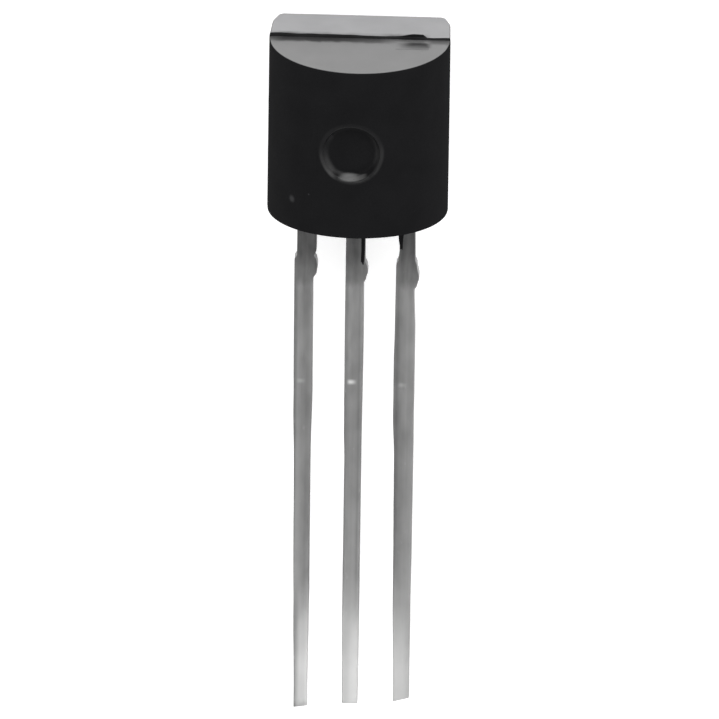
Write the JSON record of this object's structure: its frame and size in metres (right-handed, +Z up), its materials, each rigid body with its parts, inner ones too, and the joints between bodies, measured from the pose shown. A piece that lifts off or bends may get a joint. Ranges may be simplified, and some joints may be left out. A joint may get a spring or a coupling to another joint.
{
  "type": "to-92 transistor",
  "caption": "Small transistor: black D-shaped moulded body, round side and flat side, with straight flat tin-plated leads in a row for a circuit board.",
  "frame": {"origin": "centre of the overall box, on the table under the part as it lies at rest", "axes": "+Y from the lead tips towards the head end, +Z up out of the round side, +X across the leads from base to emitter"},
  "size_m": [0.0046, 0.0182, 0.0044],
  "materials": {
    "epoxy": "satin",
    "tinned_lead": "satin",
    "attach_alloy": "matte",
    "silicon": "polished",
    "gold": "polished"
  },
  "bodies": {
    "root": {"moulded_body": "epoxy", "base_lead": "tinned_lead", "collector_lead": "tinned_lead", "emitter_lead": "tinned_lead", "chip_attach": "attach_alloy", "silicon_chip": "silicon", "base_wire": "gold", "emitter_wire": "gold"}
  },
  "joints": []
}
